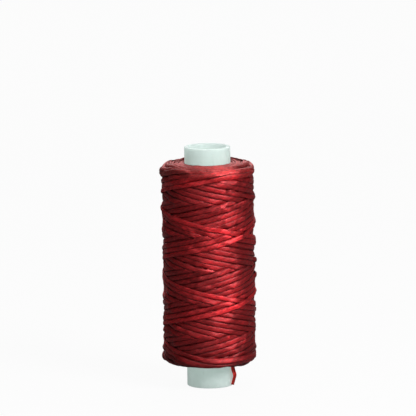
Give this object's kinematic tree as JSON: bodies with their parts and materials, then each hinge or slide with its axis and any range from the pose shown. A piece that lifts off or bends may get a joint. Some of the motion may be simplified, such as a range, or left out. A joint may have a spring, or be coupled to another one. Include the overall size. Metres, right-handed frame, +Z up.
{
  "type": "waxed thread spool",
  "caption": "Straight plastic tube wound with flat waxed sewing thread in crossing layers, with the thread's starting end hanging at the foot.",
  "frame": {"origin": "centre of the tube's lower end, on the tube's axis", "axes": "+Z up along the tube's axis, +X towards the side where the thread's starting end hangs"},
  "size_m": [0.023, 0.023, 0.06],
  "materials": {
    "natural_plastic": "satin",
    "waxed_thread": "satin",
    "wax_hardened_tip": "satin"
  },
  "bodies": {
    "spool": {"spool_tube": "natural_plastic", "start_end": "waxed_thread", "first_wraps": "waxed_thread", "inner_winding": "waxed_thread", "middle_winding": "waxed_thread", "outer_winding": "waxed_thread", "top_turns": "waxed_thread", "bottom_turns": "waxed_thread"},
    "end_neck": {"tail_neck": "waxed_thread"},
    "end_upper": {"tail_upper": "waxed_thread"},
    "end_lower": {"tail_lower": "waxed_thread", "tail_tip": "wax_hardened_tip"}
  },
  "joints": [
    {"name": "end_swing", "type": "hinge", "parent": "spool", "child": "end_neck", "pos_m": [0.00592, 0, 0.00525], "axis": [1, 0, 0], "range_deg": [-30, 30], "stiffness_Nm_per_rad": 0.0000004},
    {"name": "end_lift", "type": "hinge", "parent": "end_neck", "child": "end_upper", "pos_m": [0.00592, 0, 0.00435], "axis": [0, -1, 0], "range_deg": [0, 70], "stiffness_Nm_per_rad": 0.0000004},
    {"name": "end_bend", "type": "hinge", "parent": "end_upper", "child": "end_lower", "pos_m": [0.00667, 0, 0.00255], "axis": [0, -1, 0], "range_deg": [0, 45], "stiffness_Nm_per_rad": 0.0000004}
  ]
}
